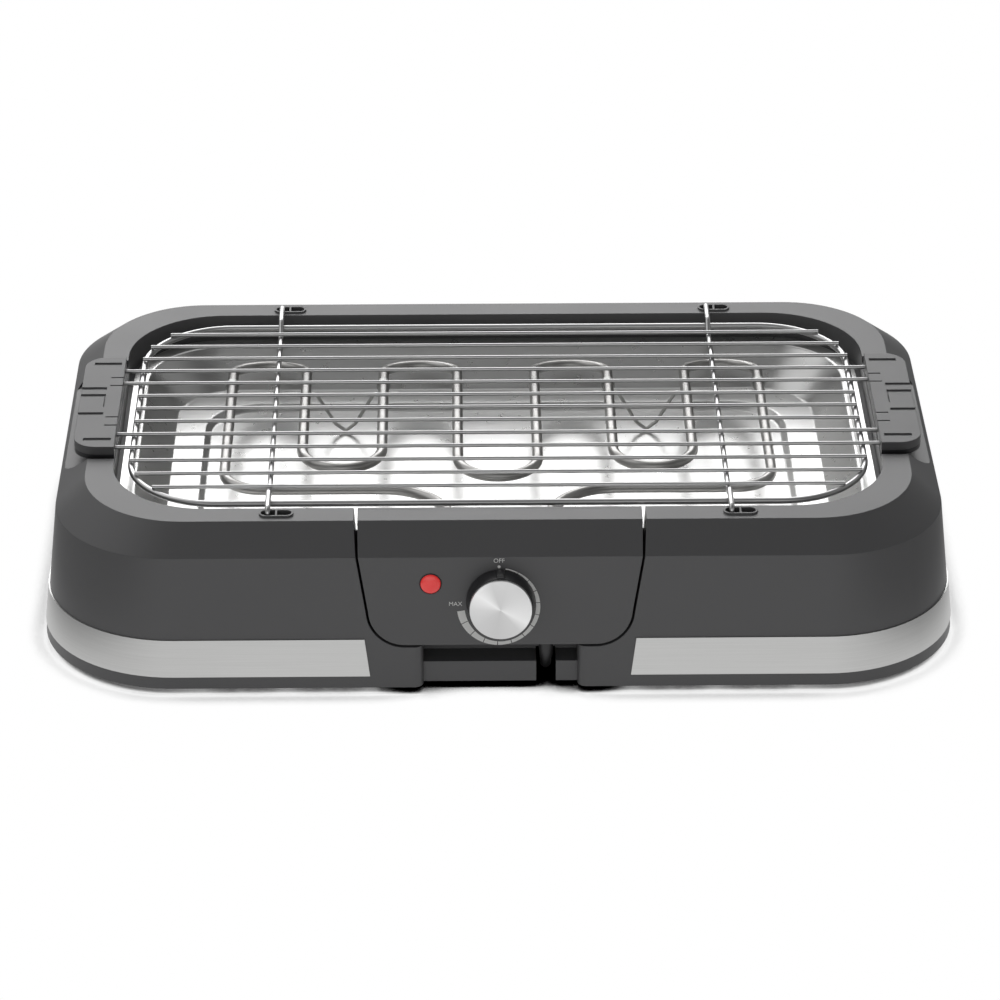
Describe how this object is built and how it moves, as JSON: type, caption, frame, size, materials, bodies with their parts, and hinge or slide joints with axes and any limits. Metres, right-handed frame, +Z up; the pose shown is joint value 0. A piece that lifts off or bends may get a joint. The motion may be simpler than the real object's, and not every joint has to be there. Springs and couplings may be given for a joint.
{
  "type": "electric indoor grill",
  "caption": "Electric tabletop grill: dark moulded base with steel side bands, polished drip tray, tubular heater with dial control in the front wall, chromed wire grid with grips, mains cord.",
  "frame": {"origin": "on the table, under the middle of the object's box without its cord", "axes": "+Z up, -Y the front with the dial, +X the right-hand side seen from the front"},
  "size_m": [0.54, 0.4754, 0.1055],
  "materials": {
    "body": "fine satin dark grey moulding",
    "black_plastic": "satin black moulding",
    "band_steel": "finely brushed stainless sheet",
    "tray_steel": "bright polished sheet",
    "element_metal": "smooth satin tube",
    "wire_chrome": "bright plating",
    "dial_aluminium": "radially turned",
    "steel_parts": "plain zinc-plated",
    "brass_parts": "turned",
    "lens_red": "clear red moulding",
    "lamp_glass": "clear bulb",
    "ceramic_parts": "unglazed",
    "wire_sleeve": "silicone sleeve",
    "rubber": "matt black"
  },
  "bodies": {
    "base": {"base_housing": "body", "trim_left": "band_steel", "trim_right": "band_steel", "rubber_feet": "rubber", "foot_screws": "steel_parts", "cord_run": "rubber", "cord_coil": "rubber", "plug": "rubber"},
    "tray": {"drip_tray": "tray_steel"},
    "heater": {"control_fascia": "body", "control_back": "body", "cover_screws": "steel_parts", "pilot_lens": "lens_red", "pilot_lamp": "lamp_glass", "thermostat": "steel_parts", "thermostat_bulb": "wire_chrome", "terminal_block": "ceramic_parts", "thermal_fuse": "ceramic_parts", "wiring": "wire_sleeve", "cord_clamp": "black_plastic", "strain_relief": "rubber", "heating_element": "element_metal", "element_ferrules": "brass_parts", "bracket_left": "wire_chrome", "bracket_right": "wire_chrome"},
    "knob": {"thermostat_shaft": "steel_parts", "knob_body": "black_plastic", "knob_disc": "dial_aluminium"},
    "grid": {"grid_ring": "wire_chrome", "grid_wires": "wire_chrome", "cross_wires": "wire_chrome", "handle_left_top": "body", "handle_left_base": "black_plastic", "handle_right_top": "body", "handle_right_base": "black_plastic", "handle_screws": "steel_parts"}
  },
  "joints": [
    {"name": "tray_lift", "type": "slide", "parent": "base", "child": "tray", "axis": [0, 0, 1], "range_m": [0, 0.12]},
    {"name": "heater_lift", "type": "slide", "parent": "tray", "child": "heater", "axis": [0, 0, 1], "range_m": [0, 0.1]},
    {"name": "grid_lift", "type": "slide", "parent": "heater", "child": "grid", "axis": [0, 0, 1], "range_m": [0, 0.1]},
    {"name": "knob_turn", "type": "hinge", "parent": "heater", "child": "knob", "pos_m": [0, -0.16156, 0.0582], "axis": [0, 0.9939, -0.1104], "range_deg": [0, 262]}
  ]
}
